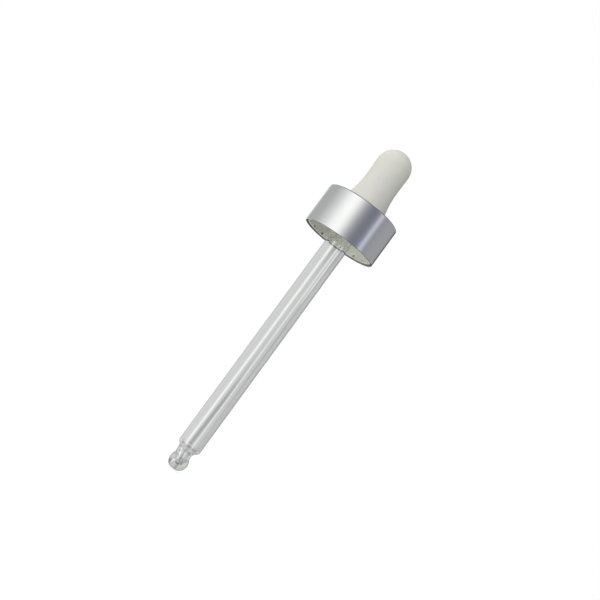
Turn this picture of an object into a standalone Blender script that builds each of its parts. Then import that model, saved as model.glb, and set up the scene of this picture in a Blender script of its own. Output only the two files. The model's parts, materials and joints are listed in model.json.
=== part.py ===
"""Screw-on medicine dropper: rubber bulb, aluminium collar over a threaded plastic insert, glass pipette.

Frame: metres, +Z up along the dropper's axis towards the bulb. The origin is the centre of the
pipette's open end, the lowest point of the part. The bulb is pinched along X.

Sizes below are in millimetres. Heights are measured from the plane of the collar's lower rim, which
lies RIM_ABOVE_TIP above the origin. Profiles are lists of (radius, height) turned about Z.
"""
import math

import bmesh
import bpy

MM = 0.001
RIM_ABOVE_TIP = 77.0           # reach of the pipette below the collar
AXIS_DISPLAY_SIZE = 10.0
SMOOTH_ANGLE_DEG = 35.0        # edges sharper than this stay crisp
MERGE_DISTANCE = 1e-4

# ---- collar: drawn aluminium cup, open side down ----
COLLAR_R = 11.4
COLLAR_H = 12.1
COLLAR_WALL = 0.35
COLLAR_TOP_ROUND = 0.42
COLLAR_ROUND_STEPS = 6
COLLAR_CHAMFER = 0.07          # on the rim and the hole's upper edge
COLLAR_INNER_CHAMFER = 0.12    # between the side wall and the top plate
COLLAR_HOLE_R = 6.96
COLLAR_SEGMENTS = 96

# ---- insert: moulded plastic screw cap pressed into the collar ----
INSERT_RIM_Z = 0.35
INSERT_TOP_Z = COLLAR_H - COLLAR_WALL - 0.3
INSERT_PLATE_Z = INSERT_TOP_Z - 1.05       # underside of the top plate
INSERT_BASE_R = 10.65          # outer wall between the crush ribs
INSERT_BORE_R = 10.05          # root of the screw thread
INSERT_HOLE_R = COLLAR_HOLE_R
RIM_OUTER_BEVEL = (0.12, 0.15)             # (radial, height)
RIM_INNER_BEVEL = (0.18, 0.22)             # (radial, height)
INSERT_TOP_BEVEL = 0.35
INSERT_BORE_BEVEL = 0.40       # between the bore and the top plate
RIB_R = INSERT_BASE_R + 0.25   # crush ribs, just inside the collar's wall
RIB_LOW_Z, RIB_HIGH_Z = INSERT_RIM_Z + 0.55, INSERT_TOP_Z - 0.75
NOTCH_DEPTH = 0.32             # small scallops round the inner lower edge
NOTCH_LOW_Z, NOTCH_HIGH_Z = 0.75, 1.65
NOTCH_SLOPE_H = 0.2            # height over which a scallop reaches its depth
RIB_COUNT = 16
RIB_PERIOD = 10                # segments in one rib-and-gap period
RIB_PHASES = (4, 5)            # segments of a period with the rib outside and the scallop inside
MATCH_TOLERANCE = 0.01         # for picking vertices by radius and height

# ---- screw thread in the insert: one start, right hand, for a 20-400 bottle neck ----
THREAD_PITCH = 3.175
THREAD_TURNS = 1.25
THREAD_CREST_R = 9.20
THREAD_ROOT_R = INSERT_BORE_R + 0.22       # buried in the insert's wall
THREAD_START_Z = 3.05          # centre of the ridge where it begins
THREAD_START_DEG = 115.0
THREAD_ROOT_WIDTH = 2.0
THREAD_CREST_WIDTH = 0.7
THREAD_RAMP_DEG = 32.0         # turn over which each end fades in
THREAD_END_LIFT = 0.04         # share of the full depth left at the ends
THREAD_MIN_WIDTH = 0.45        # share of the full width at zero lift
THREAD_STEPS_PER_TURN = 72

# ---- pipette: glass tube, beaded top, waisted ball tip ----
TUBE_R = 3.50
TUBE_BORE_R = 2.55
TUBE_RINGS_Z = (0.0, -25.0, -50.0)         # rings along the straight tube
TUBE_SEGMENTS = 48
BEAD_R = 3.95
BEAD_LOW_Z, BEAD_TOP_Z = 15.6, 16.9
BEAD_INNER_R = TUBE_R - 0.25   # radius from which the bead bulges
BEAD_HALF_ARC_DEG = 80.0
BEAD_POWER = 0.8               # below 1: a bulge fuller than an ellipse
BEAD_STEPS = 8
BEAD_TO_TUBE_H = 0.25
MOUTH_FLARE_R = 0.18           # widening of the bore at its upper end
MOUTH_LOW_DROP, MOUTH_TOP_DROP = 0.4, 0.08  # the flare's ends, below the bead's top
# outline of the tip, (height, radius): full tube, shoulder, waist, widest part of the ball
TIP_OUTLINE = (
    (-68.6, TUBE_R), (-69.7, 3.52), (-70.15, 3.22), (-70.6, 2.77), (-71.1, 2.48),
    (-71.8, 2.30), (-72.8, 2.32), (-73.5, 2.59), (-74.5, 2.81),
)
TIP_OUTLINE_STEPS = 18
BALL_Z, BALL_R = TIP_OUTLINE[-1]
BALL_STEPS = 8
TIP_Z, TIP_FLAT_R = -RIM_ABOVE_TIP, 1.00
# bore through the tip, (height, radius): full bore, narrow waist, small chamber, aperture
TIP_BORE = (
    (-69.0, TUBE_BORE_R), (-70.2, 2.10), (-71.2, 1.42), (-72.4, 1.22),
    (-73.9, 1.32), (-74.8, 0.95), (-75.5, 0.45),
)
TIP_BORE_STEPS = 12
APERTURE_R = 0.42
APERTURE_BEVEL = (0.12, 0.14)  # (radial, height)

# ---- bulb: moulded rubber teat, open below, flange under the insert's top plate ----
FLANGE_R = 8.75
FLANGE_LOW_Z, FLANGE_TOP_Z = 8.70, INSERT_PLATE_Z - 0.30
FLANGE_LOW_BEVEL, FLANGE_TOP_BEVEL = 0.2, 0.25
BULB_NECK_R = COLLAR_HOLE_R - 0.30
NECK_BEVEL = 0.15              # where the neck rises from the flange
BULB_WAIST_R = 5.13
FLARE_R = 27.0                 # concave arc from the neck up to the waist
FLARE_TOP_Z = COLLAR_H + 8.9
FLARE_STEPS = 10
BULB_HEAD_R = 5.20
BULB_HEAD_Z = 26.60            # where the dome begins
HEAD_STEPS = 5
BULB_TOP_Z = 31.75
BULB_WALL = 1.2                # thickness at the pole
DOME_POWER = 2.03              # superellipse exponent: slightly fuller than a half sphere
DOME_STEPS, CAVITY_DOME_STEPS = 12, 8
PIPETTE_GAP = 0.3              # between the rubber and the glass
BULB_BORE_R = TUBE_R + PIPETTE_GAP
BORE_MOUTH_BEVEL = 0.45
POCKET_R = BEAD_R + PIPETTE_GAP            # the pocket surrounds the pipette's bead
POCKET_LOW_Z, POCKET_TOP_Z = BEAD_LOW_Z - PIPETTE_GAP, BEAD_TOP_Z + PIPETTE_GAP
CAVITY_R = 3.90
CAVITY_RINGS_Z = (23.5, 20.5, POCKET_TOP_Z + 0.5)
BULB_SEGMENTS = 64


def clear_scene():
    for existing in list(bpy.data.objects):
        bpy.data.objects.remove(existing, do_unlink=True)


# ------------------------------------------------------------------ materials
def principled(name, colour, roughness, metallic=0.0, transmission=0.0, alpha=1.0):
    material = bpy.data.materials.new(name)
    material.use_nodes = True
    shader = material.node_tree.nodes["Principled BSDF"]
    shader.inputs["Base Color"].default_value = (*colour, 1.0)
    shader.inputs["Roughness"].default_value = roughness
    shader.inputs["Metallic"].default_value = metallic
    shader.inputs["Transmission Weight"].default_value = transmission
    shader.inputs["Alpha"].default_value = alpha
    material.diffuse_color = (*colour, alpha)
    return material


def satin_aluminium():
    return principled("satin_aluminium", colour=(0.72, 0.73, 0.76), roughness=0.28, metallic=1.0)


def natural_polypropylene():
    return principled("natural_polypropylene", colour=(0.66, 0.68, 0.60), roughness=0.45)


def off_white_rubber():
    return principled("off_white_rubber", colour=(0.68, 0.68, 0.64), roughness=0.62)


def clear_glass():
    return principled("clear_glass", colour=(0.93, 0.95, 0.95), roughness=0.03,
                      transmission=1.0, alpha=0.35)


# ------------------------------------------------------------------ curves
def smooth_step(start, end, t):
    """Eased value from start to end as t goes from 0 to 1, held beyond either end."""
    t = max(0.0, min(1.0, t))
    return start + (end - start) * t * t * (3.0 - 2.0 * t)


def heights(start, end, steps):
    """Evenly spaced heights, both ends included."""
    return [start + (end - start) * i / steps for i in range(steps + 1)]


def dome(radius, base_z, top_z, steps):
    """Superellipse quarter from the side of the dome to its pole."""
    exponent = 2.0 / DOME_POWER
    points = []
    for i in range(steps):
        angle = 0.5 * math.pi * i / steps
        points.append((radius * math.cos(angle) ** exponent,
                       base_z + (top_z - base_z) * math.sin(angle) ** exponent))
    return points + [(0.0, top_z)]


def eased_radius(stations, z):
    """Radius at height z on a monotone cubic through (height, radius) stations, top down."""
    slopes = [0.0] * len(stations)
    for i in range(1, len(stations) - 1):
        (z0, r0), (z1, r1), (z2, r2) = stations[i - 1:i + 2]
        above, below = (r1 - r0) / (z1 - z0), (r2 - r1) / (z2 - z1)
        if above * below > 0.0:
            slopes[i] = 2.0 * above * below / (above + below)
    i = 0
    while i < len(stations) - 2 and z < stations[i + 1][0]:
        i += 1
    (z0, r0), (z1, r1) = stations[i], stations[i + 1]
    span = z1 - z0
    t = (z - z0) / span
    return ((2 * t ** 3 - 3 * t ** 2 + 1) * r0
            + (t ** 3 - 2 * t ** 2 + t) * span * slopes[i]
            + (3 * t ** 2 - 2 * t ** 3) * r1
            + (t ** 3 - t ** 2) * span * slopes[i + 1])


# ------------------------------------------------------------------ objects
def link_new(name, data):
    obj = bpy.data.objects.new(name, data)
    bpy.context.scene.collection.objects.link(obj)
    return obj


def object_from_bmesh(name, bm):
    bmesh.ops.recalc_face_normals(bm, faces=bm.faces)
    mesh = bpy.data.meshes.new(name)
    bm.to_mesh(mesh)
    bm.free()
    return link_new(name, mesh)


def turned_solid(name, profile, segments, closed=True):
    """Spins a profile about Z. A closed one gives a ring-like solid; an open one starts and
    ends on the axis."""
    bm = bmesh.new()
    verts = [bm.verts.new((r * MM, 0.0, z * MM)) for r, z in profile]
    edges = [bm.edges.new(pair) for pair in zip(verts, verts[1:])]
    if closed:
        edges.append(bm.edges.new((verts[-1], verts[0])))
    bmesh.ops.spin(bm, geom=verts + edges, cent=(0, 0, 0), axis=(0, 0, 1), dvec=(0, 0, 0),
                   angle=2.0 * math.pi, steps=segments, use_merge=True, use_duplicate=False)
    bmesh.ops.remove_doubles(bm, verts=bm.verts, dist=MERGE_DISTANCE * MM)
    return object_from_bmesh(name, bm)


def finish(obj, material, parent):
    obj.data.materials.append(material)
    obj.data.shade_smooth()
    obj.data.set_sharp_from_angle(angle=math.radians(SMOOTH_ANGLE_DEG))
    obj.parent = parent


def axis_empty(name):
    """Frame at the centre of the collar's lower rim, for parts that turn about its Z axis."""
    empty = link_new(name, None)
    empty.empty_display_size = AXIS_DISPLAY_SIZE * MM
    empty.location = (0.0, 0.0, RIM_ABOVE_TIP * MM)
    return empty


# ------------------------------------------------------------------ collar
def build_collar(material, parent):
    inner_r = COLLAR_R - COLLAR_WALL
    plate_z = COLLAR_H - COLLAR_WALL
    profile = [(inner_r + COLLAR_CHAMFER, 0.0), (COLLAR_R - COLLAR_CHAMFER, 0.0),
               (COLLAR_R, COLLAR_CHAMFER)]
    profile += [(COLLAR_R, COLLAR_H * share) for share in (0.25, 0.5, 0.75)]
    for i in range(COLLAR_ROUND_STEPS + 1):
        angle = 0.5 * math.pi * i / COLLAR_ROUND_STEPS
        profile.append((COLLAR_R - COLLAR_TOP_ROUND * (1.0 - math.cos(angle)),
                        COLLAR_H - COLLAR_TOP_ROUND * (1.0 - math.sin(angle))))
    profile += [
        (COLLAR_HOLE_R + COLLAR_CHAMFER, COLLAR_H),
        (COLLAR_HOLE_R, COLLAR_H - COLLAR_CHAMFER),
        (COLLAR_HOLE_R, plate_z),
        (inner_r - COLLAR_INNER_CHAMFER, plate_z),
        (inner_r, plate_z - COLLAR_INNER_CHAMFER),
        (inner_r, COLLAR_CHAMFER),
    ]
    finish(turned_solid("collar_shell", profile, COLLAR_SEGMENTS), material, parent)


# ------------------------------------------------------------------ insert
def insert_profile():
    """From the rim up the outer wall, over the top plate, down the hole and down the bore."""
    return [
        (INSERT_BORE_R + RIM_INNER_BEVEL[0], INSERT_RIM_Z),
        (INSERT_BASE_R - RIM_OUTER_BEVEL[0], INSERT_RIM_Z),
        (INSERT_BASE_R, INSERT_RIM_Z + RIM_OUTER_BEVEL[1]),
        (INSERT_BASE_R, RIB_LOW_Z),
        (INSERT_BASE_R, RIB_HIGH_Z),
        (INSERT_BASE_R, INSERT_TOP_Z - INSERT_TOP_BEVEL),
        (INSERT_BASE_R - INSERT_TOP_BEVEL, INSERT_TOP_Z),
        (INSERT_HOLE_R, INSERT_TOP_Z),
        (INSERT_HOLE_R, INSERT_PLATE_Z),
        (INSERT_BORE_R - INSERT_BORE_BEVEL, INSERT_PLATE_Z),
        (INSERT_BORE_R, INSERT_PLATE_Z - INSERT_BORE_BEVEL),
        (INSERT_BORE_R, NOTCH_HIGH_Z),
        (INSERT_BORE_R, NOTCH_HIGH_Z - NOTCH_SLOPE_H),
        (INSERT_BORE_R, NOTCH_LOW_Z + NOTCH_SLOPE_H),
        (INSERT_BORE_R, NOTCH_LOW_Z),
        (INSERT_BORE_R, INSERT_RIM_Z + RIM_INNER_BEVEL[1]),
    ]


def push_out_ribs_and_notches(mesh, segments):
    """Moves vertices outwards: crush ribs on the outer wall, scallops in the bore."""
    # (radius moved, lowest height, highest height, new radius)
    bands = (
        (INSERT_BASE_R, RIB_LOW_Z, RIB_HIGH_Z, RIB_R),
        (INSERT_BORE_R, NOTCH_LOW_Z + NOTCH_SLOPE_H, NOTCH_HIGH_Z - NOTCH_SLOPE_H,
         INSERT_BORE_R + NOTCH_DEPTH),
    )
    for vertex in mesh.vertices:
        x, y, z = vertex.co
        segment = round(math.atan2(y, x) % (2.0 * math.pi) / (2.0 * math.pi / segments))
        if segment % RIB_PERIOD not in RIB_PHASES:
            continue
        radius, height = math.hypot(x, y) / MM, z / MM
        for wall_r, low_z, high_z, new_r in bands:
            on_wall = abs(radius - wall_r) < MATCH_TOLERANCE
            if on_wall and low_z - MATCH_TOLERANCE < height < high_z + MATCH_TOLERANCE:
                vertex.co.x = x * new_r / radius
                vertex.co.y = y * new_r / radius


def build_thread(parent):
    """A trapezoid ridge swept up a right-hand helix, fading into the wall at both ends."""
    steps = int(THREAD_TURNS * THREAD_STEPS_PER_TURN)
    sweep_deg = 360.0 * THREAD_TURNS
    bm = bmesh.new()
    rings = []
    for i in range(steps + 1):
        turn_deg = sweep_deg * i / steps
        from_end = min(turn_deg, sweep_deg - turn_deg) / THREAD_RAMP_DEG
        lift = smooth_step(THREAD_END_LIFT, 1.0, from_end)
        crest_r = THREAD_ROOT_R - (THREAD_ROOT_R - THREAD_CREST_R) * lift
        width_share = THREAD_MIN_WIDTH + (1.0 - THREAD_MIN_WIDTH) * lift
        half_root = 0.5 * THREAD_ROOT_WIDTH * width_share
        half_crest = 0.5 * THREAD_CREST_WIDTH * width_share
        angle = math.radians(THREAD_START_DEG + turn_deg)
        z = THREAD_START_Z + THREAD_PITCH * turn_deg / 360.0
        section = ((THREAD_ROOT_R, z - half_root), (crest_r, z - half_crest),
                   (crest_r, z + half_crest), (THREAD_ROOT_R, z + half_root))
        rings.append([bm.verts.new((r * math.cos(angle) * MM, r * math.sin(angle) * MM, h * MM))
                      for r, h in section])
    bm.faces.new(rings[0])
    for low, high in zip(rings, rings[1:]):
        for j in range(4):
            k = (j + 1) % 4
            bm.faces.new((low[j], low[k], high[k], high[j]))
    bm.faces.new(rings[-1][::-1])
    ridge = object_from_bmesh("thread_ridge", bm)
    ridge.hide_render = True
    ridge.display_type = "WIRE"
    ridge.parent = parent
    return ridge


def build_insert(material, parent):
    segments = RIB_COUNT * RIB_PERIOD
    insert = turned_solid("threaded_insert", insert_profile(), segments)
    push_out_ribs_and_notches(insert.data, segments)
    join = insert.modifiers.new("thread", "BOOLEAN")
    join.operation = "UNION"
    join.solver = "EXACT"
    join.object = build_thread(parent)
    finish(insert, material, parent)


# ------------------------------------------------------------------ pipette
def pipette_outside():
    """From the bead's top down to the flat round the aperture."""
    bead_mid_z = 0.5 * (BEAD_LOW_Z + BEAD_TOP_Z)
    bead_half_h = 0.5 * (BEAD_TOP_Z - BEAD_LOW_Z)
    points = []
    for i in range(BEAD_STEPS + 1):
        angle = math.radians(BEAD_HALF_ARC_DEG * (1.0 - 2.0 * i / BEAD_STEPS))
        points.append((BEAD_INNER_R + (BEAD_R - BEAD_INNER_R) * math.cos(angle) ** BEAD_POWER,
                       bead_mid_z + bead_half_h * math.sin(angle)))
    points += [(TUBE_R, z) for z in (BEAD_LOW_Z - BEAD_TO_TUBE_H, *TUBE_RINGS_Z)]
    points += [(eased_radius(TIP_OUTLINE, z), z)
               for z in heights(TIP_OUTLINE[0][0], BALL_Z, TIP_OUTLINE_STEPS)]
    for i in range(1, BALL_STEPS + 1):                   # lower half of the ball
        angle = 0.5 * math.pi * i / BALL_STEPS
        points.append((TIP_FLAT_R + (BALL_R - TIP_FLAT_R) * math.cos(angle),
                       BALL_Z + (TIP_Z - BALL_Z) * math.sin(angle)))
    return points


def pipette_bore():
    """From the aperture up to the mouth in the bead."""
    points = [(APERTURE_R + APERTURE_BEVEL[0], TIP_Z), (APERTURE_R, TIP_Z + APERTURE_BEVEL[1])]
    points += [(eased_radius(TIP_BORE, z), z)
               for z in heights(TIP_BORE[-1][0], TIP_BORE[0][0], TIP_BORE_STEPS)]
    points += [(TUBE_BORE_R, z) for z in reversed(TUBE_RINGS_Z)]
    points += [(TUBE_BORE_R, BEAD_TOP_Z - MOUTH_LOW_DROP),
               (TUBE_BORE_R + MOUTH_FLARE_R, BEAD_TOP_Z - MOUTH_TOP_DROP)]
    return points


def build_pipette(material, parent):
    profile = pipette_outside() + pipette_bore()
    finish(turned_solid("glass_pipette", profile, TUBE_SEGMENTS), material, parent)


# ------------------------------------------------------------------ bulb
def flare_radius(z):
    """Concave arc: wide at the collar, tangent to the waist at FLARE_TOP_Z."""
    return BULB_WAIST_R + FLARE_R - math.sqrt(FLARE_R ** 2 - (FLARE_TOP_Z - z) ** 2)


def bulb_outside():
    """From the flange's lower edge up to the outer pole."""
    points = [
        (FLANGE_R - FLANGE_LOW_BEVEL, FLANGE_LOW_Z),
        (FLANGE_R, FLANGE_LOW_Z + FLANGE_LOW_BEVEL),
        (FLANGE_R, FLANGE_TOP_Z - FLANGE_TOP_BEVEL),
        (FLANGE_R - FLANGE_TOP_BEVEL, FLANGE_TOP_Z),
        (BULB_NECK_R + NECK_BEVEL, FLANGE_TOP_Z),
        (BULB_NECK_R, FLANGE_TOP_Z + NECK_BEVEL),
        (BULB_NECK_R, COLLAR_H),
    ]
    points += [(flare_radius(z), z) for z in heights(COLLAR_H, FLARE_TOP_Z, FLARE_STEPS)[1:]]
    for i in range(1, HEAD_STEPS):
        t = i / HEAD_STEPS
        points.append((smooth_step(BULB_WAIST_R, BULB_HEAD_R, t),
                       FLARE_TOP_Z + (BULB_HEAD_Z - FLARE_TOP_Z) * t))
    return points + dome(BULB_HEAD_R, BULB_HEAD_Z, BULB_TOP_Z, DOME_STEPS)


def bulb_inside():
    """From the inner pole down the cavity, past the bead's pocket, to the lower mouth."""
    points = dome(CAVITY_R, BULB_HEAD_Z, BULB_TOP_Z - BULB_WALL, CAVITY_DOME_STEPS)[::-1]
    points += [(CAVITY_R, z) for z in CAVITY_RINGS_Z]
    points += [
        (POCKET_R, POCKET_TOP_Z),
        (POCKET_R, POCKET_LOW_Z + 0.1),
        (BULB_BORE_R, POCKET_LOW_Z - 0.35),
        (BULB_BORE_R, FLANGE_LOW_Z + BORE_MOUTH_BEVEL),
        (BULB_BORE_R + BORE_MOUTH_BEVEL, FLANGE_LOW_Z),
    ]
    return points


def build_bulb(material, parent):
    profile = bulb_inside() + bulb_outside()
    finish(turned_solid("rubber_bulb", profile, BULB_SEGMENTS, closed=False), material, parent)


def main():
    clear_scene()
    closure = axis_empty("closure_axis")
    swivel = axis_empty("swivel_axis")
    build_collar(satin_aluminium(), closure)
    build_insert(natural_polypropylene(), closure)
    build_pipette(clear_glass(), swivel)
    build_bulb(off_white_rubber(), swivel)


main()
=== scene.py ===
"""Looks of a screw-on medicine dropper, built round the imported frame.

The dropper stands upright on the Z axis: glass tip at the bottom, collar and threaded insert
above it, rubber bulb on top. The camera looks along +Y, so -Y is the front and +X the right.
Meshes are laid out in millimetres above the collar's lower rim; shaders work in metres.
"""
import json
import math

import bmesh
import bpy
import numpy as np
from mathutils import Matrix, Vector

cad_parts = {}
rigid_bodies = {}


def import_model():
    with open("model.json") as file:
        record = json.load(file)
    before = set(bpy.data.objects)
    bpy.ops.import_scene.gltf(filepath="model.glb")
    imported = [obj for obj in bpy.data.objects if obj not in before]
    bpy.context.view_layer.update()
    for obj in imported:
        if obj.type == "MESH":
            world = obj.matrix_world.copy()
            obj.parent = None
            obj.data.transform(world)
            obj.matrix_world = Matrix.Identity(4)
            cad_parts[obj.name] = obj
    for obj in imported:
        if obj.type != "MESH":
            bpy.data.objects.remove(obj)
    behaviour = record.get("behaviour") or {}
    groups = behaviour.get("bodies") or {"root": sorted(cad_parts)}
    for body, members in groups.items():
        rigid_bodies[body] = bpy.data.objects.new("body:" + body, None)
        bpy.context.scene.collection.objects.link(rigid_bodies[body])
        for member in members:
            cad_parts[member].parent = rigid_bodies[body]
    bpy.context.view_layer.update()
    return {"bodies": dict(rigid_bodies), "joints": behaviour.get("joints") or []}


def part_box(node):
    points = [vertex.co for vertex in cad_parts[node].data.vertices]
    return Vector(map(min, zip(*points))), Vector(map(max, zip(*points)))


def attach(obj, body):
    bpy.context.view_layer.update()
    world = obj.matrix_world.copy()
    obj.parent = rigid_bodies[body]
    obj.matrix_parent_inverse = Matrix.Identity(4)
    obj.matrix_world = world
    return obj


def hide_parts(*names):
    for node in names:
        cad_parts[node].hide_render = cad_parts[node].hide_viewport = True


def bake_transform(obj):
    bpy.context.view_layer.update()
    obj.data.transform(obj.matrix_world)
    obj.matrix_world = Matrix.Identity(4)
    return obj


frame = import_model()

MM = 0.001

# ------------------------------------------------------------------ sizes taken from the frame
shell_low, shell_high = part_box("collar_shell")
insert_low, insert_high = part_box("threaded_insert")
bulb_low, bulb_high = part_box("rubber_bulb")
BASE = shell_low.z / MM                 # height of the collar's lower rim in the frame
COLLAR_R = shell_high.x / MM
COLLAR_H = (shell_high.z - shell_low.z) / MM
INSERT_LOW = insert_low.z / MM - BASE
INSERT_TOP = insert_high.z / MM - BASE
FLANGE_Z = bulb_low.z / MM - BASE
BULB_TOP = bulb_high.z / MM - BASE
TIP_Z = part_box("glass_pipette")[0].z / MM - BASE


# ------------------------------------------------------------------ geometry helpers
def fillet(points, closed=False):
    """Rounds the corners of (radius, height, rounding, arc steps) points, giving (radius, height).
    The two ends of an open profile stay sharp."""
    out = []
    count = len(points)
    for i, (radius, height, rounding, steps) in enumerate(points):
        if not closed and i in (0, count - 1):
            out.append((radius, height))
            continue
        corner = np.array([radius, height], float)
        back = np.array(points[i - 1][:2], float) - corner
        ahead = np.array(points[(i + 1) % count][:2], float) - corner
        back_length, ahead_length = np.linalg.norm(back), np.linalg.norm(ahead)
        back, ahead = back / back_length, ahead / ahead_length
        half = 0.5 * math.acos(float(back @ ahead))
        cut = min(rounding / math.tan(half), 0.49 * back_length, 0.49 * ahead_length)
        rounding = cut * math.tan(half)
        bisector = back + ahead
        bisector /= np.linalg.norm(bisector)
        centre = corner + bisector * rounding / math.sin(half)
        first, last = corner + back * cut - centre, corner + ahead * cut - centre
        start = math.atan2(first[1], first[0])
        sweep = (math.atan2(last[1], last[0]) - start + math.pi) % (2 * math.pi) - math.pi
        for k in range(steps + 1):
            angle = start + sweep * k / steps
            out.append((centre[0] + rounding * math.cos(angle),
                        centre[1] + rounding * math.sin(angle)))
    return out


def spread(points, longest):
    """Adds rows so that no stretch of a closed profile is longer than `longest`."""
    out = []
    for i in range(len(points)):
        start = np.array(points[i], float)
        end = np.array(points[(i + 1) % len(points)], float)
        parts = max(1, int(math.ceil(np.linalg.norm(end - start) / longest)))
        out += [tuple(start + (end - start) * j / parts) for j in range(parts)]
    return out


def add_object(name, data):
    obj = bpy.data.objects.new(name, data)
    bpy.context.scene.collection.objects.link(obj)
    return obj


def turned(name, profile, segments, closed, shape=None, lean=None):
    """A solid of revolution from (radius, height) rows. An open profile starts and ends on the
    axis. shape(theta, radii, height, row) returns new radii; lean(height) shifts a row along X."""
    theta = np.arange(segments) * 2 * math.pi / segments
    profile = np.array(profile, float).tolist()
    verts, faces, rows = [], [], []
    for i, (radius, height) in enumerate(profile):
        on_axis = not closed and i in (0, len(profile) - 1)
        angles = theta[:1] if on_axis else theta
        radii = np.full(len(angles), 0.0 if on_axis else radius)
        if shape:
            radii = shape(angles, radii, height, i)
        shift = lean(height) if lean else 0.0
        start = len(verts)
        xs, ys = radii * np.cos(angles) + shift, radii * np.sin(angles)
        verts += [(x * MM, y * MM, (height + BASE) * MM)
                  for x, y in zip(xs.tolist(), ys.tolist())]
        rows.append(list(range(start, len(verts))))
    for i in range(len(rows) if closed else len(rows) - 1):
        row, following = rows[i], rows[(i + 1) % len(rows)]
        for j in range(segments):
            k = (j + 1) % segments
            if len(row) == 1:
                faces.append((row[0], following[j], following[k]))
            elif len(following) == 1:
                faces.append((row[k], row[j], following[0]))
            else:
                faces.append((row[j], following[j], following[k], row[k]))
    mesh = bpy.data.meshes.new(name)
    mesh.from_pydata(verts, [], faces)
    work = bmesh.new()
    work.from_mesh(mesh)
    bmesh.ops.recalc_face_normals(work, faces=work.faces)
    if work.calc_volume(signed=True) < 0:
        bmesh.ops.reverse_faces(work, faces=work.faces)
    work.to_mesh(mesh)
    work.free()
    mesh.validate()
    mesh.shade_smooth()
    return add_object(name, mesh)


def step(start, end, share):
    """Smooth step from start to end as share goes from 0 to 1."""
    share = np.clip(share, 0.0, 1.0)
    return start + (end - start) * share * share * (3 - 2 * share)


def window(value, low, high, soft):
    """1 between low and high, falling smoothly to 0 over `soft` outside."""
    rise = step(0.0, 1.0, (value - (low - soft)) / soft)
    return rise * step(1.0, 0.0, (value - high) / soft)


def eased(stations, z):
    """Value at height z on a smooth curve through (height, value) stations, listed top down."""
    grades = [(value - value_above) / (height - height_above)
              for (height_above, value_above), (height, value) in zip(stations, stations[1:])]
    slopes = [0.0]
    for above, below in zip(grades, grades[1:]):
        slopes.append(2.0 * above * below / (above + below) if above * below > 0.0 else 0.0)
    slopes.append(0.0)
    i = 0
    while i < len(stations) - 2 and z < stations[i + 1][0]:
        i += 1
    (top, top_value), (bottom, bottom_value) = stations[i], stations[i + 1]
    span = bottom - top
    t = max(0.0, min(1.0, (z - top) / span))
    return ((2 * t ** 3 - 3 * t ** 2 + 1) * top_value
            + (t ** 3 - 2 * t ** 2 + t) * span * slopes[i]
            + (3 * t ** 2 - 2 * t ** 3) * bottom_value
            + (t ** 3 - t ** 2) * span * slopes[i + 1])


# ------------------------------------------------------------------ node helpers
def grey(level):
    return (level, level, level, 1.0)


def heights(first, second):
    """Two heights above the collar's rim, in mm, as metres in the frame."""
    return (BASE + first) * MM, (BASE + second) * MM


class Net:
    """Short ways to add nodes to one node tree. Inputs take either a value or a socket."""

    def __init__(self, tree):
        self.tree = tree
        tree.nodes.clear()

    def put(self, socket, value):
        if isinstance(value, bpy.types.NodeSocket):
            self.tree.links.new(value, socket)
        else:
            socket.default_value = value

    def node(self, kind, inputs=None, **settings):
        node = self.tree.nodes.new(kind)
        for name, value in settings.items():
            setattr(node, name, value)
        for name, value in (inputs or {}).items():
            self.put(node.inputs[name], value)
        return node

    def get(self, kind, output, inputs=None, **settings):
        """Adds a node and returns one of its outputs."""
        return self.node(kind, inputs, **settings).outputs[output]

    def math(self, operation, *values, clamp=False):
        return self.get("ShaderNodeMath", 0, dict(enumerate(values)),
                        operation=operation, use_clamp=clamp)

    def add(self, first, second):
        return self.math("ADD", first, second)

    def mul(self, product, *factors):
        for factor in factors:
            product = self.math("MULTIPLY", product, factor)
        return product

    def split(self, vector):
        return list(self.node("ShaderNodeSeparateXYZ", {0: vector}).outputs)

    def from_axis(self, x, y):
        return self.math("SQRT", self.add(self.mul(x, x), self.mul(y, y)))

    def azimuth(self, x, y):
        """Angle round Z in radians: 0 towards the camera (-Y), positive towards +X."""
        return self.math("ARCTAN2", x, self.mul(y, -1.0))

    def position(self):
        return self.get("ShaderNodeTexCoord", "Object")

    def noise(self, vector, scale, detail=2.0, rough=0.5):
        return self.get("ShaderNodeTexNoise", "Fac", {
            "Vector": vector, "Scale": scale, "Detail": detail, "Roughness": rough})

    def remap(self, value, span, to=(0.0, 1.0)):
        return self.get("ShaderNodeMapRange", "Result", {
            "Value": value, "From Min": span[0], "From Max": span[1],
            "To Min": to[0], "To Max": to[1]})

    def mix(self, share, low, high):
        """Colour `low` where share is 0, `high` where it is 1."""
        return self.get("ShaderNodeMix", "Result", {"Factor": share, "A": low, "B": high},
                        data_type="RGBA")

    def stretch(self, vector, scale):
        return self.get("ShaderNodeMapping", "Vector", {"Vector": vector, "Scale": scale})

    def scaled(self, vector, scale):
        return self.get("ShaderNodeVectorMath", 0, {0: vector, "Scale": scale},
                        operation="SCALE")

    def bump(self, height, strength, distance):
        return self.get("ShaderNodeBump", "Normal", {
            "Strength": strength, "Distance": distance, "Height": height})

    def ramp(self, share, stops, interpolation="LINEAR"):
        """stops: (position, grey level or colour)."""
        node = self.node("ShaderNodeValToRGB", {"Fac": share})
        node.color_ramp.interpolation = interpolation
        elements = node.color_ramp.elements
        while len(elements) > 1:
            elements.remove(elements[-1])
        for i, (place, colour) in enumerate(stops):
            element = elements.new(place) if i else elements[0]
            element.position = place
            element.color = colour if isinstance(colour, tuple) else grey(colour)
        return node.outputs["Color"]

    def principled(self, inputs):
        return self.get("ShaderNodeBsdfPrincipled", 0, inputs)

    def surface(self, shader):
        self.node("ShaderNodeOutputMaterial", {"Surface": shader})


def new_material(name):
    material = bpy.data.materials.new(name)
    material.use_nodes = True
    return material, Net(material.node_tree)


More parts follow.
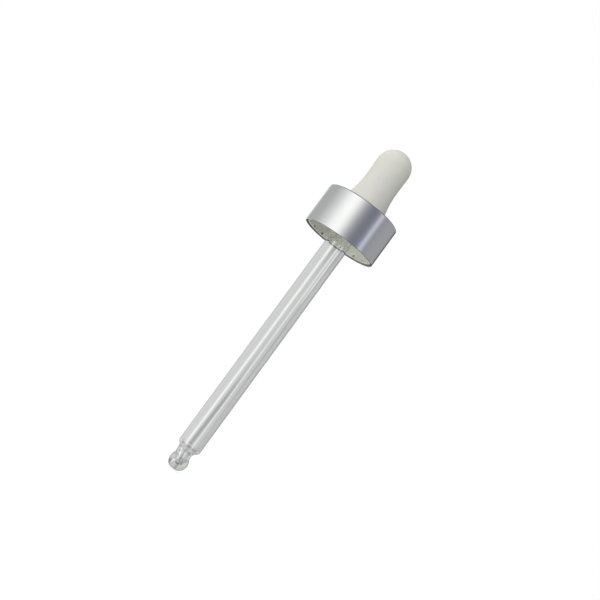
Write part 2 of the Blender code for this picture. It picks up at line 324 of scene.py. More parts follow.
# ------------------------------------------------------------------ materials
def aluminium_material():
    """Satin aluminium: fine turned lines round the shell, faint mottling, brighter edges; painted
    shade inside.
    """
    material, net = new_material("satin_aluminium")
    position = net.position()
    mottling = net.noise(position, scale=260.0, detail=3.0)
    lines = net.noise(net.stretch(position, scale=(60.0, 60.0, 16000.0)), scale=1.0, rough=0.6)
    grain = net.noise(position, scale=9000.0, rough=0.6)
    tone = net.mix(mottling, low=(0.800, 0.812, 0.835, 1), high=(0.832, 0.840, 0.858, 1))
    tone = net.mix(net.remap(lines, span=(0.3, 0.7), to=(0.0, 0.10)),
                   tone, high=(0.74, 0.75, 0.775, 1))
    # painted shade: the inside of the shell is painted dark and is rougher; the painted shade is
    # lighter towards +X
    x, y, z = net.split(position)
    inside = net.remap(net.from_axis(x, y), to=(1.0, 0.0),
                       span=((COLLAR_R - 0.30) * MM, (COLLAR_R - 0.22) * MM))
    inside = net.mul(inside, net.remap(
        z, span=heights(COLLAR_H - 0.30, COLLAR_H - 0.20), to=(1.0, 0.0)))
    inner_painted_shade = net.mix(net.remap(x, span=(0.0055, 0.0095)),
                   low=(0.375, 0.37, 0.355, 1), high=(0.56, 0.555, 0.54, 1))
    tone = net.mix(inside, tone, inner_painted_shade)
    edge = net.remap(net.get("ShaderNodeNewGeometry", "Pointiness"), span=(0.53, 0.60))
    edge_tint, edge_polish, inside_rough = 0.35, 0.04, 0.28
    rough = net.add(net.remap(mottling, span=(0.3, 0.7), to=(0.135, 0.165)),
                    net.remap(lines, span=(0.3, 0.7), to=(-0.012, 0.016)))
    rough = net.add(rough, net.mul(inside, inside_rough))
    lines_share, grain_share = 0.6, 0.4         # of the bump height
    relief = net.add(net.mul(lines, lines_share), net.mul(grain, grain_share))
    net.surface(net.principled({
        "Metallic": 1.0,
        "Base Color": net.mix(net.mul(edge, edge_tint), tone, high=(0.90, 0.90, 0.905, 1)),
        "Roughness": net.math("SUBTRACT", rough, net.mul(edge, edge_polish)),
        "Normal": net.bump(relief, strength=0.10, distance=0.00002),
    }))
    return material


def rubber_material():
    """Matte off-white rubber with a fine grain and faint darker specks."""
    material, net = new_material("off_white_rubber")
    position = net.position()
    broad = net.noise(position, scale=120.0)
    speck = net.noise(position, scale=2600.0, detail=3.0, rough=0.6)
    grain = net.noise(position, scale=7000.0, rough=0.55)
    tone = net.mix(net.remap(broad, span=(0.35, 0.65)),
                   low=(0.800, 0.803, 0.738, 1), high=(0.825, 0.828, 0.767, 1))
    tone = net.mix(net.remap(speck, span=(0.62, 0.80), to=(0.0, 0.25)),
                   tone, high=(0.74, 0.735, 0.69, 1))
    grain_share, speck_share = 0.6, 0.4         # of the bump height
    relief = net.add(net.mul(grain, grain_share), net.mul(speck, speck_share))
    net.surface(net.principled({
        "Base Color": tone,
        "Roughness": net.remap(broad, span=(0.3, 0.7), to=(0.52, 0.62)),
        "Specular IOR Level": 0.35,
        "Subsurface Weight": 0.25,
        "Subsurface Radius": (0.0012, 0.0011, 0.0009),
        "Subsurface Scale": 1.0,
        "Normal": net.bump(relief, strength=0.22, distance=0.00003),
    }))
    return material


def insert_material():
    """Natural polypropylene: milky, faintly green grey, waxy; painted shade darkens the small
    recesses.
    """
    material, net = new_material("natural_polypropylene")
    position = net.position()
    cloud = net.noise(position, scale=350.0, detail=3.0)
    grain = net.noise(position, scale=5200.0)
    tone = net.mix(net.remap(cloud, span=(0.3, 0.7)),
                   low=(0.76, 0.775, 0.685, 1), high=(0.82, 0.83, 0.745, 1))
    # painted shade: the small recesses are painted dark olive, by the recess attribute
    recess = net.get("ShaderNodeAttribute", "Fac", attribute_name="recess")
    net.surface(net.principled({
        "Base Color": net.mix(recess, tone, high=(0.36, 0.37, 0.28, 1)),
        "Roughness": net.remap(cloud, span=(0.3, 0.7), to=(0.34, 0.46)),
        "Subsurface Weight": 0.0,
        "Subsurface Radius": (0.0011, 0.0012, 0.0010),
        "Subsurface Scale": 1.0,
        "Normal": net.bump(grain, strength=0.08, distance=0.00002),
    }))
    return material


GLASS_IOR = 1.49
# Painted reflections: tall windows that the glass glows with, as if mirrored in it. Columns:
# azimuth from the camera's side and half width (degrees), level, the sine of the elevation where
# the window begins, and how far its lower part leans away (degrees per unit of that sine).
WINDOWS = [
    (-33.8, 9.3, 7.7, -0.7, 66.0), (26.4, 6.6, 5.3, -0.7, -8.0), (56.6, 7.3, 5.2, 0.086, 0.0),
    (80.0, 5.0, 0.9, -0.7, 0.0), (107.0, 7.0, 0.5, -0.7, 0.0), (146.0, 9.0, 6.0, -0.7, 0.0),
    (-152.0, 7.0, 4.5, -0.7, 0.0),
]
BEHIND = 110.0                  # windows beyond this azimuth are kept out of the glass's edges


def mirrored_windows(net, facing):
    """Brightness of the painted window reflections along the reflected ray."""
    x, y, z = net.split(net.get("ShaderNodeTexCoord", "Reflection"))
    azimuth = net.mul(net.azimuth(x, y), 180.0 / math.pi)
    face_on = net.remap(facing, span=(0.30, 0.50), to=(1.0, 0.0))
    below = net.math("MINIMUM", z, 0.0)
    soft = 0.012                # half the height over which a window's lower end fades
    total = None
    for centre, half_width, level, low, lean in WINDOWS:
        middle = net.math("MULTIPLY_ADD", below, lean, centre)
        off = net.math("DIVIDE", net.math("SUBTRACT", azimuth, middle), half_width)
        profile = net.math("POWER", 2.0, net.mul(off, off, -1.0))
        begin = net.remap(z, span=(low - soft, low + soft))
        end = net.remap(z, span=(0.62, 0.72), to=(1.0, 0.0))
        part = net.mul(net.mul(profile, begin), net.mul(end, level))
        if abs(centre) > BEHIND:
            part = net.mul(part, face_on)
        total = part if total is None else net.add(total, part)
    return total


def glass_painted_shade(net, x, y, z, facing):
    """Painted shade on the glass: where it is seen edge-on, down its +X side, in a blob on the
    ball and at the mouth.
    """
    # painted shade where the formed end and the +X side are seen edge-on
    end_rim = net.mul(net.remap(z, span=heights(-72.6, -73.6), to=(0.0, 0.60)),
                      net.remap(facing, span=(0.55, 0.95)))
    side_rim = net.mul(net.remap(x, span=(0.0018, 0.0030), to=(0.0, 0.15)),
                       net.remap(facing, span=(0.25, 0.50)))
    axis = net.from_axis(x, y)
    front_face = net.math("SUBTRACT", 1.0, net.get("ShaderNodeNewGeometry", "Backfacing"))
    # painted shade: a thin dark line down the tube's outer wall on the +X side, and a trace more
    # near the collar
    thin_rim = net.mul(
        net.remap(x, span=(0.0008, 0.0016)),
        net.remap(facing, span=(0.42, 0.74), to=(0.0, 0.46)),
        net.remap(axis, span=(0.0030, 0.0033)),
        net.remap(z, span=heights(-71.0, -69.5)),
        front_face)
    upper = net.mul(net.remap(z, span=heights(-14.0, -4.0), to=(0.0, 0.10)),
                    net.remap(x, span=(0.0016, 0.0024)))
    thin_rim = net.add(thin_rim, upper)
    # painted shade: a dark oval blob on the ball's -X side: its middle and half sizes, in metres
    middle_x, middle_y, middle_z = -0.00206, -0.0016, (BASE - 75.70) * MM
    half_x, half_y, half_z = 0.00060, 0.0012, 0.00120
    cell = net.get("ShaderNodeCombineXYZ", 0, {
        0: net.math("DIVIDE", net.add(x, -middle_x), half_x),
        1: net.math("DIVIDE", net.add(y, -middle_y), half_y),
        2: net.math("DIVIDE", net.math("SUBTRACT", z, middle_z), half_z)})
    away = net.get("ShaderNodeVectorMath", "Value", {0: cell}, operation="LENGTH")
    shade_blob = net.remap(away, span=(0.55, 1.15), to=(0.80, 0.0))
    # painted shade at the tip's mouth
    mouth = net.mul(net.remap(axis, span=(0.0007, 0.0011), to=(0.65, 0.0)),
                    net.remap(z, span=heights(-76.5, -76.8)))
    return net.math("ADD", net.add(end_rim, net.add(side_rim, thin_rim)),
                    net.add(shade_blob, mouth), clamp=True)


def glass_material():
    """Clear drawn glass: faint smears, a trace of green, painted reflections of windows in its
    face, painted shade and painted glow.
    """
    material, net = new_material("clear_glass")
    position = net.position()
    smear = net.noise(net.stretch(position, scale=(1.0, 1.0, 0.35)),
                      scale=420.0, detail=3.0, rough=0.6)
    draw = net.noise(net.stretch(position, scale=(700.0, 700.0, 9.0)), scale=1.0, detail=1.0)
    tone = net.mix(net.remap(smear, span=(0.3, 0.7)),
                   low=(0.965, 0.975, 0.968, 1), high=(0.985, 0.99, 0.986, 1))
    x, y, z = net.split(position)
    # painted shade: the formed end is darker and greener on its +X side
    formed = net.remap(z, span=heights(-73.2, -75.6))
    side = net.remap(x, span=(-0.0006, 0.0008))
    tone = net.mix(formed, tone, net.mix(
        side, low=(0.965, 0.975, 0.95, 1), high=(0.79, 0.815, 0.765, 1)))
    facing = net.get("ShaderNodeLayerWeight", "Facing")
    # painted shade: the glass's colour is darkened where this is high
    dark = glass_painted_shade(net, x, y, z, facing)
    glass = net.principled({
        "Base Color": net.mix(dark, tone, high=(0.12, 0.13, 0.11, 1)),
        "Transmission Weight": 1.0,
        "IOR": GLASS_IOR,
        "Roughness": net.remap(smear, span=(0.45, 0.8), to=(0.0, 0.03)),
        "Normal": net.bump(draw, strength=0.01, distance=0.000004),
    })

    # painted reflection: the glass glows with the windows, weighted by Fresnel, for the camera in
    # outward faces only
    windows = mirrored_windows(net, facing)
    fresnel = net.get("ShaderNodeFresnel", 0, {"IOR": GLASS_IOR})
    clean = net.remap(smear, span=(0.3, 0.75), to=(1.05, 0.90))
    first = net.mul(
        net.math("SUBTRACT", 1.0, net.get("ShaderNodeNewGeometry", "Backfacing")),
        net.get("ShaderNodeLightPath", "Is Camera Ray"))
    # painted glint: they brighten close under the collar, and end at it, since the shell hides
    # them
    open_air = net.remap(z, span=heights(-0.9, -0.5), to=(1.0, 0.0))
    extra_glint = 0.6
    hot = net.mul(net.remap(z, span=heights(-1.7, -1.1)), extra_glint)
    windows = net.math("MULTIPLY_ADD", windows, hot, windows)
    glint = net.mul(net.mul(windows, fresnel), net.mul(net.mul(clean, first), open_air))
    # painted light: where light has been round the inside of the wall many times, the glass glows
    # an even grey
    most_bounces, lost_level = 3.5, 0.35
    lost = net.math("GREATER_THAN", net.get("ShaderNodeLightPath", "Glossy Depth"),
                    most_bounces)
    # painted light: the -X side of the formed ball glows, less where painted shade lies
    painted_glow = net.mul(net.remap(x, span=(-0.0002, -0.0009), to=(0.0, 0.085)),
                   net.remap(z, span=heights(-72.6, -73.6)))
    painted_glow = net.mul(net.mul(painted_glow, first), net.math("SUBTRACT", 1.0, dark, clamp=True))
    strength = net.add(net.math("MULTIPLY_ADD", lost, lost_level, glint), painted_glow)
    glow = net.get("ShaderNodeEmission", 0, {"Strength": strength})
    net.surface(net.get("ShaderNodeAddShader", 0, {0: glass, 1: glow}))
    return material


# ------------------------------------------------------------------ collar
SHELL_WALL = 0.35
SHELL_HOLE_R = 6.97


def build_collar():
    inner = COLLAR_R - SHELL_WALL
    ceiling = COLLAR_H - SHELL_WALL
    # radius, height, rounding, arc steps
    loop = fillet([
        (inner, 0.0, 0.10, 3), (COLLAR_R, 0.0, 0.16, 5), (COLLAR_R, COLLAR_H, 0.42, 10),
        (SHELL_HOLE_R, COLLAR_H, 0.12, 4), (SHELL_HOLE_R, ceiling, 0.10, 3),
        (inner, ceiling, 0.25, 4),
    ], closed=True)
    obj = turned("collar", spread(loop, longest=1.2), 256, closed=True)
    obj.data.materials.append(aluminium_material())
    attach(obj, "closure")
    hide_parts("collar_shell")


# ------------------------------------------------------------------ threaded insert
RIBS = 16                               # outside ribs, with a small recess inside each
RIB_STEP = 360.0 / RIBS                 # degrees
RECESS_AT = 10.125                      # angle of one rib and its recess from +X, in degrees
INSERT_BORE_R, INSERT_R, RIB_R = 10.05, 10.75, 10.90
INSERT_HOLE_R = 6.98
PLATE_Z = 10.40                         # underside of the top plate
BORE_ROW = 0.11                         # height of a mesh row down the bore
RECESS_DEPTH = 0.34
THREAD_PITCH, THREAD_TURNS = 3.175, 1.25
THREAD_CREST_R = 9.20
THREAD_Z, THREAD_ANGLE = 3.05, math.radians(115.0)      # where the thread starts
THREAD_RUN_OUT = 32.0                   # degrees over which each end of the thread fades
THREAD_HALF, THREAD_FLANK = 1.0, 0.62   # half height of the ridge, and of its sloping side


def insert_shape(theta, radii, z, row):
    """Adds the ribs outside, and the recesses and the thread inside."""
    phase = ((theta - math.radians(RECESS_AT)) * RIBS / (2 * math.pi) + 0.5) % 1.0
    near = np.abs(phase - 0.5) * 2.0                      # 0 at a rib's middle, 1 between ribs
    outer = np.abs(radii - INSERT_R) < 0.02
    rib = window(z, INSERT_LOW + 0.8, INSERT_TOP - 1.0, 0.3)
    rib = rib * step(1.0, 0.0, (near - 0.15) / 0.15)
    radii = np.where(outer, radii + (RIB_R - INSERT_R) * rib, radii)
    bore = np.abs(radii - INSERT_BORE_R) < 0.02
    recess = RECESS_DEPTH * window(z, 0.78, 1.14, 0.16)
    recess = recess * step(1.0, 0.0, (near * RIB_STEP / 2 - 1.1) / 1.3)
    thread = np.zeros_like(radii)
    for k in range(3):
        turn = ((theta - THREAD_ANGLE) % (2 * math.pi)) / (2 * math.pi) + k
        fade = step(0.0, 1.0, turn * 360 / THREAD_RUN_OUT)
        fade = fade * step(0.0, 1.0, (THREAD_TURNS - turn) * 360 / THREAD_RUN_OUT)
        fade = np.where(turn <= THREAD_TURNS, fade, 0.0)
        off = np.abs(z - (THREAD_Z + THREAD_PITCH * turn))
        thread = np.maximum(thread, step(0.0, 1.0, (THREAD_HALF - off) / THREAD_FLANK) * fade)
    change = recess - (INSERT_BORE_R - THREAD_CREST_R) * thread
    return np.where(bore, radii + change, radii)


def mark_recess_shade(obj):
    """Stores how far each vertex lies in a recess, as the share of painted shade for the material.
    """
    places = np.array([v.co for v in obj.data.vertices], float) / MM
    angle = np.degrees(np.arctan2(places[:, 1], places[:, 0]))
    off = np.abs((angle - RECESS_AT + RIB_STEP / 2) % RIB_STEP - RIB_STEP / 2)
    recess_shade = window(places[:, 2] - BASE, 0.76, 1.16, 0.16) * step(1.0, 0.0, (off - 1.3) / 1.2)
    recess_shade *= np.hypot(places[:, 0], places[:, 1]) < 10.62        # the bore side only
    attribute = obj.data.attributes.new("recess", "FLOAT", "POINT")
    attribute.data.foreach_set("value", recess_shade.astype(np.float32))


def build_insert():
    # radius, height, rounding, arc steps
    outline = spread(fillet([
        (INSERT_BORE_R, INSERT_LOW, 0.16, 4), (INSERT_R, INSERT_LOW, 0.15, 3),
        (INSERT_R, INSERT_TOP, 0.35, 4), (INSERT_HOLE_R, INSERT_TOP, 0.15, 3),
        (INSERT_HOLE_R, PLATE_Z, 0.15, 3), (INSERT_BORE_R, PLATE_Z, 0.45, 5),
    ], closed=True), longest=0.5)
    # more rows down the bore, where the thread and the recesses are
    loop = []
    for i, start in enumerate(outline):
        end = outline[(i + 1) % len(outline)]
        loop.append(start)
        if abs(start[0] - INSERT_BORE_R) < 1e-6 and abs(end[0] - INSERT_BORE_R) < 1e-6:
            parts = max(1, int(abs(end[1] - start[1]) / BORE_ROW))
            loop += [(INSERT_BORE_R, start[1] + (end[1] - start[1]) * j / parts)
                     for j in range(1, parts)]
    obj = turned("insert", loop, RIBS * 20, closed=True, shape=insert_shape)
    mark_recess_shade(obj)
    obj.data.materials.append(insert_material())
    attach(obj, "closure")
    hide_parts("threaded_insert")
    return obj


# ------------------------------------------------------------------ bulb
WAIST_R, HEAD_R, HEAD_Z = 5.13, 5.20, 26.60
FLARE_R, FLARE_TOP = 27.0, COLLAR_H + 8.9       # the flare is an arc of this radius
NECK_R = 6.67
FLANGE_R, FLANGE_H = 8.75, 1.4
CAVITY_R = 3.90
TOP_WALL = 1.2
DOME_POWER = 2.03                               # 2 would be an ellipse


def flare(z):
    drop = max(0.0, FLARE_TOP - z)
    return WAIST_R + FLARE_R - math.sqrt(FLARE_R ** 2 - drop ** 2)


def dome(radius, base, top, steps):
    out = []
    for i in range(steps + 1):
        angle = 0.5 * math.pi * i / steps
        out.append((radius * math.cos(angle) ** (2 / DOME_POWER) if i < steps else 0.0,
                    base + (top - base) * math.sin(angle) ** (2 / DOME_POWER)))
    return out


def bulb_outside():
    """From the flange's lower edge up to the top of the dome."""
    flange_top = FLANGE_Z + FLANGE_H
    # radius, height, rounding, arc steps; the first only gives the flange's underside
    outer = fillet([
        (CAVITY_R, FLANGE_Z, 0, 0), (FLANGE_R, FLANGE_Z, 0.2, 4),
        (FLANGE_R, flange_top, 0.25, 4), (NECK_R, flange_top, 0.15, 3),
        (NECK_R, COLLAR_H - 0.35, 0, 0)])[1:]
    rows, start = 26, COLLAR_H - 0.05
    for i in range(rows + 1):
        z = start + (FLARE_TOP - start) * i / rows
        outer.append((min(NECK_R, flare(z)), z))
    for i in range(1, 12):
        share = i / 12.0
        outer.append((float(step(WAIST_R, HEAD_R, share)),
                      FLARE_TOP + (HEAD_Z - FLARE_TOP) * share))
    return outer + dome(HEAD_R, HEAD_Z, BULB_TOP, 26)


def bulb_inside():
    """From the cavity's top down to the flange, with a groove round the glass's beaded top."""
    inner = dome(CAVITY_R, HEAD_Z, BULB_TOP - TOP_WALL, 18)[::-1]
    inner += [(CAVITY_R, z) for z in np.linspace(25.8, 18.0, 12)]
    inner += [(4.15, 17.3), (4.25, 17.0), (4.25, 15.7), (4.15, 15.4),
              (3.75, 14.9), (3.72, 12.5), (3.72, 9.5), (4.2, FLANGE_Z)]
    return inner


def build_bulb():
    inner = bulb_inside()
    inner_rows = len(inner)

    def shape(theta, radii, z, row):
        # a faint mould line on the +X and -X sides, and a trace of unevenness
        if row < inner_rows:
            return radii
        line = np.exp(-(np.abs(np.sin(theta)) / 0.022) ** 2)
        line = line * window(z, COLLAR_H + 0.5, BULB_TOP - 0.6, 0.5)
        uneven = 0.018 * np.sin(2 * theta + 0.7) * window(z, FLARE_TOP, BULB_TOP, 4.0)
        return radii + 0.022 * line + uneven * np.clip(radii / 5.0, 0, 1)

    obj = turned("bulb", inner + bulb_outside(), 192, closed=False, shape=shape)
    obj.data.materials.append(rubber_material())
    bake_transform(obj)
    pinch_weights(obj)
    widen_when_pinched(obj)
    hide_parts("rubber_bulb")
    return obj


# The rubber can't come in past the glass, so the pinch begins above the pipette's beaded top.
PINCH_Z, PINCH_RISE = 17.0, 6.0         # where it begins, and the height it builds up over
PINCH_EASE = 0.62                       # share of the pinch lost at the very top
WIDEN = 0.36                            # widening along Y for each unit of pinch


def pinch_weights(obj):
    """Stores how the bulb widens along Y as it is pinched, as the bulge attribute."""
    joint = next(j for j in frame["joints"] if j["name"] == "bulb_squeeze")
    travel = max(abs(v) for v in joint["range_m"]) / MM
    places = np.array([v.co for v in obj.data.vertices], float) / MM
    x, y, z = places[:, 0], places[:, 1], places[:, 2] - BASE
    radius = np.hypot(x, y)
    press = step(0.0, 1.0, (z - PINCH_Z) / PINCH_RISE)
    press = press * (1.0 - PINCH_EASE * step(
        0.0, 1.0, (z - (HEAD_Z - 3.6)) / (BULB_TOP - HEAD_Z + 2.4)))
    keep = 1.0 - press * travel / WAIST_R               # outer wall's share of its own x
    outer_r = np.array([flare(v) if v < FLARE_TOP else HEAD_R for v in z])
    # the share of x that would keep the inner wall about a wall's thickness inside the outer one,
    # never crossing over
    wall, pinched_wall = 1.2, 1.15 * (1 - 0.15 * press)
    wall_keep = (keep * outer_r - pinched_wall) / np.maximum(outer_r - wall, 0.1)
    wall_keep = np.clip(wall_keep, 0.10, 1.0)
    bulge = WIDEN * press * np.where(radius > 1e-6, y / WAIST_R, 0.0)
    attribute = obj.data.attributes.new("bulge", "FLOAT", "POINT")
    attribute.data.foreach_set("value", bulge.astype(np.float32))


def widen_when_pinched(obj):
    """Moves vertices by `bulge` times the bulb empty's offset, turned a quarter round Z."""
    group = bpy.data.node_groups.new("bulb_widens", "GeometryNodeTree")
    for direction in ("INPUT", "OUTPUT"):
        group.interface.new_socket("Geometry", in_out=direction,
                                   socket_type="NodeSocketGeometry")
    net = Net(group)
    geometry = net.get("NodeGroupInput", 0)
    offset = net.get("GeometryNodeObjectInfo", "Location",
                     {"Object": frame["bodies"]["bulb"]}, transform_space="ORIGINAL")
    quarter_turned = net.get("ShaderNodeVectorMath", 0, {0: (0, 0, 1), 1: offset},
                             operation="CROSS_PRODUCT")
    bulge = net.get("GeometryNodeInputNamedAttribute", "Attribute", {"Name": "bulge"},
                    data_type="FLOAT")
    moved = net.get("GeometryNodeSetPosition", 0, {
        "Geometry": geometry, "Offset": net.scaled(quarter_turned, bulge)})
    net.node("NodeGroupOutput", {0: moved})
    obj.modifiers.new("widens", "NODES").node_group = group


# ------------------------------------------------------------------ pipette
TUBE_R, BORE_R = 3.50, 2.55
BALL_Z, BALL_R, TIP_FLAT_R = -74.5, 2.81, 1.00
BEAD_Z = 16.25
# Stations of the hot-formed tip, top down. Columns: height, radius.
TIP_OUTLINE = (
    (-68.6, TUBE_R), (-69.7, 3.52), (-70.15, 3.22), (-70.6, 2.77), (-71.1, 2.48),
    (-71.8, 2.30), (-72.8, 2.32), (-73.5, 2.59), (BALL_Z, BALL_R))
TIP_BORE = (
    (-69.0, BORE_R), (-70.2, 2.10), (-71.2, 1.42), (-72.4, 1.22), (-73.9, 1.32),
    (-74.8, 0.95), (-75.5, 0.45))
# The tip leans a little to one side. Columns: height, shift along X.
TIP_LEAN = (
    (-69.4, 0.0), (-70.4, 0.05), (-71.5, -0.17), (-72.4, -0.10), (-74.1, 0.0),
    (-76.3, -0.02), (-77.0, -0.12))


def tip_lean(z):
    return eased(TIP_LEAN, z) if z < TIP_LEAN[0][0] else 0.0


def tube_waver(theta, radii, z, row):
    """The drawn tube wavers by a few microns, and narrows slightly towards the top."""
    wave = 0.004 * np.sin(0.21 * z + 1.0) + 0.003 * np.sin(0.53 * z + 2.0 + theta)
    taper = -0.035 * step(0.0, 1.0, (z + 66.0) / 66.0)
    return radii + (wave + taper) * window(z, -66.0, 12.0, 3.0)


def build_pipette():
    outer = []
    for i in range(13):                         # beaded top
        angle = math.radians(80 - 160 * i / 12)
        outer.append((TUBE_R - 0.25 + 0.70 * max(0.0, math.cos(angle)) ** 0.8,
                      BEAD_Z + 0.65 * math.sin(angle)))
    outer += [(TUBE_R, z) for z in np.linspace(15.35, -68.0, 84)]
    outer += [(eased(TIP_OUTLINE, z), z)
              for z in np.linspace(TIP_OUTLINE[0][0], BALL_Z, 64)]
    outer += [(TIP_FLAT_R + (BALL_R - TIP_FLAT_R) * math.cos(angle),
               BALL_Z + (TIP_Z - BALL_Z) * math.sin(angle))
              for angle in np.linspace(0.06, 0.5 * math.pi, 24)]
    bore = [(0.67, TIP_Z + 0.01), (0.52, TIP_Z + 0.05), (0.44, TIP_Z + 0.14),
            (0.42, TIP_Z + 0.4)]
    bore += [(eased(TIP_BORE, z), z)
             for z in np.linspace(TIP_BORE[-1][0], TIP_BORE[0][0], 56)]
    bore += [(BORE_R, z) for z in np.linspace(-68.2, 16.1, 62)]
    bore += [(BORE_R + 0.05, 16.45), (BORE_R + 0.18, 16.7), (BORE_R + 0.4, 16.86)]
    obj = turned("pipette_tube", outer + bore, 160, closed=True,
                 shape=tube_waver, lean=tip_lean)
    obj.data.materials.append(glass_material())
    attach(obj, "pipette")
    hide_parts("glass_pipette")
    return obj


# ------------------------------------------------------------------ world
# Brightness round the studio as seen in a mirror. Columns: azimuth from the camera's side in
# degrees (negative is to its left), level, blueness.
STUDIO = [
    (-180, 0.85, -0.01), (-165, 0.78, -0.01), (-152, 0.56, -0.01), (-145, 0.47, -0.01),
    (-132, 0.475, -0.01), (-115, 0.485, -0.01), (-100, 0.515, -0.01), (-80, 0.68, -0.02),
    (-66, 0.84, -0.02), (-52, 1.03, -0.025), (-34, 1.17, -0.03), (-22, 1.07, -0.03),
    (-11, 0.80, -0.01), (0, 0.51, 0.03), (11, 0.335, 0.07), (22, 0.245, 0.11),
    (33, 0.225, 0.13), (41, 0.250, 0.13), (49, 0.335, 0.14), (54, 0.53, 0.11),
    (59, 0.66, 0.09), (64, 0.54, 0.08), (70, 0.37, 0.07), (78, 0.350, 0.05),
    (90, 0.365, 0.03), (105, 0.38, 0.02), (135, 0.37, 0.02), (142, 0.35, 0.01),
    (148, 0.24, 0.01), (156, 0.13, 0.0), (170, 0.07, 0.0), (180, 0.06, 0.0),
]
RAMP_PEAK = 1.3                 # the studio level that fills the ramp
DIFFUSE_GAIN = 1.33
LEFT_BIAS = 0.39
CEILING = 0.55
# Level behind the glass by azimuth, -180 to 180 over the ramp; straight behind is at both
# ends. The second is for rays that dip. Columns: position, level.
THROUGH = [
    (0.0, 0.625), (0.03, 0.66), (0.06, 0.67), (0.11, 0.655), (0.17, 0.655), (0.20, 0.58),
    (0.24, 0.46), (0.5, 0.46), (0.76, 0.42), (0.80, 0.42), (0.83, 0.50), (0.89, 0.59),
    (0.93, 0.51), (0.942, 0.48), (0.956, 0.39), (0.967, 0.54), (0.978, 0.61), (1.0, 0.63),
]
THROUGH_LOW = [
    (0.0, 0.61), (0.02, 0.65), (0.045, 0.72), (0.10, 0.69), (0.17, 0.62), (0.20, 0.56),
    (0.24, 0.46), (0.5, 0.46), (0.76, 0.42), (0.80, 0.42), (0.83, 0.48), (0.89, 0.54),
    (0.93, 0.51), (0.956, 0.51), (0.967, 0.58), (0.978, 0.64), (1.0, 0.62),
]
# The dark bar behind the glass, by the ray's rise from -0.2 to 0.2 over the ramp: how dark it
# is, and where its middle lies (0 to 1 is sideways -0.05 to 0.05).
BAR_DEPTH = [
    (0.0, 0.34), (0.30, 0.35), (0.33, 0.33), (0.36, 0.27), (0.39, 0.21), (0.42, 0.155),
    (0.45, 0.10), (0.48, 0.06), (0.54, 0.03), (0.60, 0.015), (0.71, 0.02), (0.755, 0.04),
    (0.81, 0.09), (0.833, 0.14), (0.852, 0.20), (0.87, 0.26), (0.895, 0.34), (1.0, 0.38),
]
BAR_AT = [(0.165, 0.30), (0.33, 0.66), (0.39, 0.72), (0.45, 0.61), (0.55, 0.50), (1.0, 0.48)]
BAR_REACH = 0.05


def view_through(net, x, z, share):
    """What shows through the glass: light grey, with a dark bar that fades near the horizon."""
    rise = net.remap(z, span=(-0.2, 0.2))
    low_down = net.remap(z, span=(-0.12, -0.02), to=(1.0, 0.0))
    view = net.mix(low_down, net.ramp(share, THROUGH, "EASE"),
                   net.ramp(share, THROUGH_LOW, "EASE"))
    centre = net.math("SUBTRACT", net.mul(net.ramp(rise, BAR_AT), 2 * BAR_REACH), BAR_REACH)
    aside = net.math("ABSOLUTE", net.math("SUBTRACT", x, centre))
    bar = net.remap(aside, span=(0.022, 0.050), to=(1.0, 0.0))
    view = net.mix(net.mul(bar, net.ramp(rise, BAR_DEPTH)), view, high=grey(0.0))
    # a darker ground and zenith, met only where the formed tip bends the view steeply
    steep = net.add(net.remap(z, span=(-0.25, -0.60), to=(0.0, 0.45)),
                    net.remap(z, span=(0.40, 0.80), to=(0.0, 0.30)))
    return net.mix(steep, view, high=grey(0.0))


def build_world():
    world = bpy.data.worlds.new("studio")
    bpy.context.scene.world = world
    world.use_nodes = True
    net = Net(world.node_tree)
    x, y, z = net.split(net.get("ShaderNodeTexCoord", "Generated"))
    share = net.remap(net.azimuth(x, y), span=(-math.pi, math.pi))
    stops = []
    for degrees, level, blue in STUDIO:
        level /= RAMP_PEAK
        stops.append(((degrees + 180) / 360.0, (
            level * (1 - 0.5 * blue), level * (1 - 0.35 * blue), level * (1 + blue), 1)))
    lit = net.scaled(net.ramp(share, stops, "CARDINAL"), RAMP_PEAK)
    # in mirrors, a grey ceiling takes over high up and the dark edge of the table low down
    mirrored = net.mix(net.remap(z, span=(0.45, 0.80)), lit, high=grey(0.21))
    mirrored = net.mix(net.remap(z, span=(-0.22, -0.50)), mirrored, high=grey(0.16))
    path = net.node("ShaderNodeLightPath").outputs
    # soft fill for matt surfaces: brighter from the left, an even ceiling
    fill = net.mix(net.remap(z, span=(0.35, 0.80)), lit, high=grey(CEILING))
    side_gain = net.mul(net.math("SUBTRACT", 1.0, net.mul(x, LEFT_BIAS)), DIFFUSE_GAIN)
    colour = net.mix(path["Is Diffuse Ray"], mirrored, net.scaled(fill, side_gain))
    colour = net.mix(path["Is Transmission Ray"], colour, view_through(net, x, z, share))
    colour = net.mix(path["Is Camera Ray"], colour, high=grey(1.0))
    background = net.get("ShaderNodeBackground", 0, {"Color": colour})
    net.node("ShaderNodeOutputWorld", {0: background})


# ------------------------------------------------------------------ floor, lights and camera
FLOOR_HALF, FLOOR_Z = 6.0, -0.0004              # metres


def floor_material():
    """Pale floor: glows for the camera, plain grey through glass, a matt bounce otherwise."""
    material, net = new_material("pale_floor")
    path = net.node("ShaderNodeLightPath").outputs
    tone = net.noise(net.position(), scale=30.0)
    diffuse = net.get("ShaderNodeBsdfDiffuse", 0, {
        "Color": net.mix(tone, low=grey(0.26), high=grey(0.27))})
    glow = net.get("ShaderNodeEmission", 0, {"Color": grey(1.0), "Strength": 0.86})
    seen = net.get("ShaderNodeAddShader", 0, {0: diffuse, 1: glow})
    bounce = net.get("ShaderNodeBsdfDiffuse", 0, {"Color": grey(0.66)})
    through = net.get("ShaderNodeEmission", 0, {"Color": grey(0.62)})
    unseen = net.get("ShaderNodeMixShader", 0, {
        0: path["Is Transmission Ray"], 1: bounce, 2: through})
    net.surface(net.get("ShaderNodeMixShader", 0, {
        0: path["Is Camera Ray"], 1: unseen, 2: seen}))
    return material


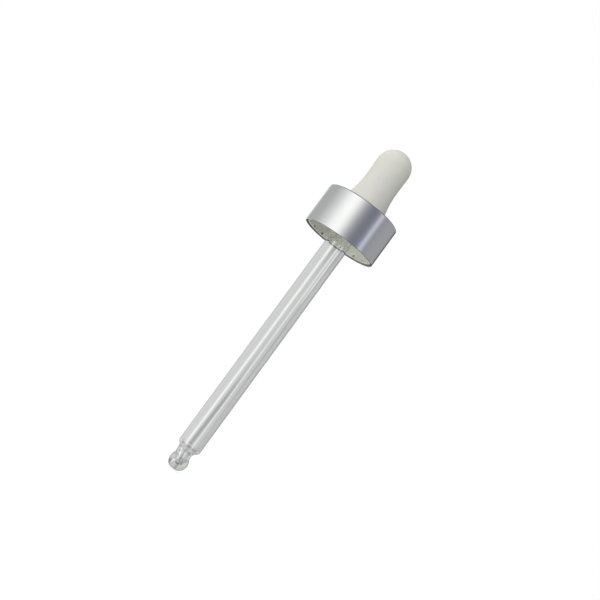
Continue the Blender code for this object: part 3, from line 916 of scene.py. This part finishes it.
def build_floor():
    mesh = bpy.data.meshes.new("floor")
    corners = [(-1, -1), (1, -1), (1, 1), (-1, 1)]
    mesh.from_pydata([(x * FLOOR_HALF, y * FLOOR_HALF, 0) for x, y in corners],
                     [], [(0, 1, 2, 3)])
    floor = add_object("floor", mesh)
    floor.location.z = FLOOR_Z
    mesh.materials.append(floor_material())
    floor.visible_glossy = False
    floor.visible_transmission = False
    floor.visible_shadow = False


LIGHT_DISTANCE, LIGHT_RAISE = 0.7, 0.05         # metres from the axis, and up


def strip_light(name, azimuth, half_width, low, high, level, receiver):
    """A tall soft light that lights one piece only. Angles are in degrees: azimuth from the
    camera's side, low and high are elevations. level is its radiance."""
    data = bpy.data.lights.new(name, "AREA")
    data.shape = "RECTANGLE"
    bottom = LIGHT_DISTANCE * math.tan(math.radians(low))
    top = LIGHT_DISTANCE * math.tan(math.radians(high))
    data.size = 2 * LIGHT_DISTANCE * math.tan(math.radians(half_width))
    data.size_y = top - bottom
    data.energy = level * math.pi * data.size * data.size_y
    data.spread = math.pi
    light = add_object(name, data)
    angle = math.radians(azimuth)
    outward = Vector((math.sin(angle) * LIGHT_DISTANCE, -math.cos(angle) * LIGHT_DISTANCE, 0.0))
    light.location = outward + Vector((0.0, 0.0, 0.5 * (bottom + top) + LIGHT_RAISE))
    light.rotation_euler = outward.to_track_quat("Z", "Y").to_euler()
    light.visible_camera = False
    group = bpy.data.collections.new(name + "_receivers")
    group.objects.link(receiver)
    light.light_linking.receiver_collection = group


CAMERA_LENS = 49.02                             # mm, on a 36 mm sensor
CAMERA_PITCH, CAMERA_ROLL = 4.54, 36.22         # degrees
CAMERA_AT = (0.778, -227.354, 39.616)           # mm in the frame


def build_camera():
    data = bpy.data.cameras.new("camera")
    camera = add_object("camera", data)
    data.sensor_width = 36.0
    data.lens = CAMERA_LENS
    data.clip_start, data.clip_end = 0.005, 50.0
    pitch, roll = math.radians(CAMERA_PITCH), math.radians(CAMERA_ROLL)
    forward = Vector((0.0, math.cos(pitch), math.sin(pitch)))
    upright = Vector((0.0, -math.sin(pitch), math.cos(pitch)))
    right = forward.cross(upright)
    # rolled so that the dropper leans to the right in the picture
    up = upright * math.cos(roll) - right * math.sin(roll)
    matrix = Matrix((forward.cross(up), up, -forward)).transposed().to_4x4()
    matrix.translation = Vector(CAMERA_AT) * MM
    camera.matrix_world = matrix
    bpy.context.scene.camera = camera


build_collar()
insert = build_insert()
pipette = build_pipette()
pipette.visible_shadow = False                  # clear glass lets the light past
bulb = build_bulb()
build_world()
build_floor()
# soft panels on the camera's side, for the rubber and for the inside of the insert
strip_light("fill_front", azimuth=-15.0, half_width=12.0, low=-35.0, high=30.0, level=0.75,
            receiver=bulb)
strip_light("fill_left", azimuth=-50.0, half_width=9.0, low=-38.0, high=-8.0, level=7.0,
            receiver=insert)
strip_light("fill_right", azimuth=70.0, half_width=9.0, low=-38.0, high=-8.0, level=1.7,
            receiver=insert)
build_camera()
bpy.context.scene.view_settings.view_transform = "Standard"
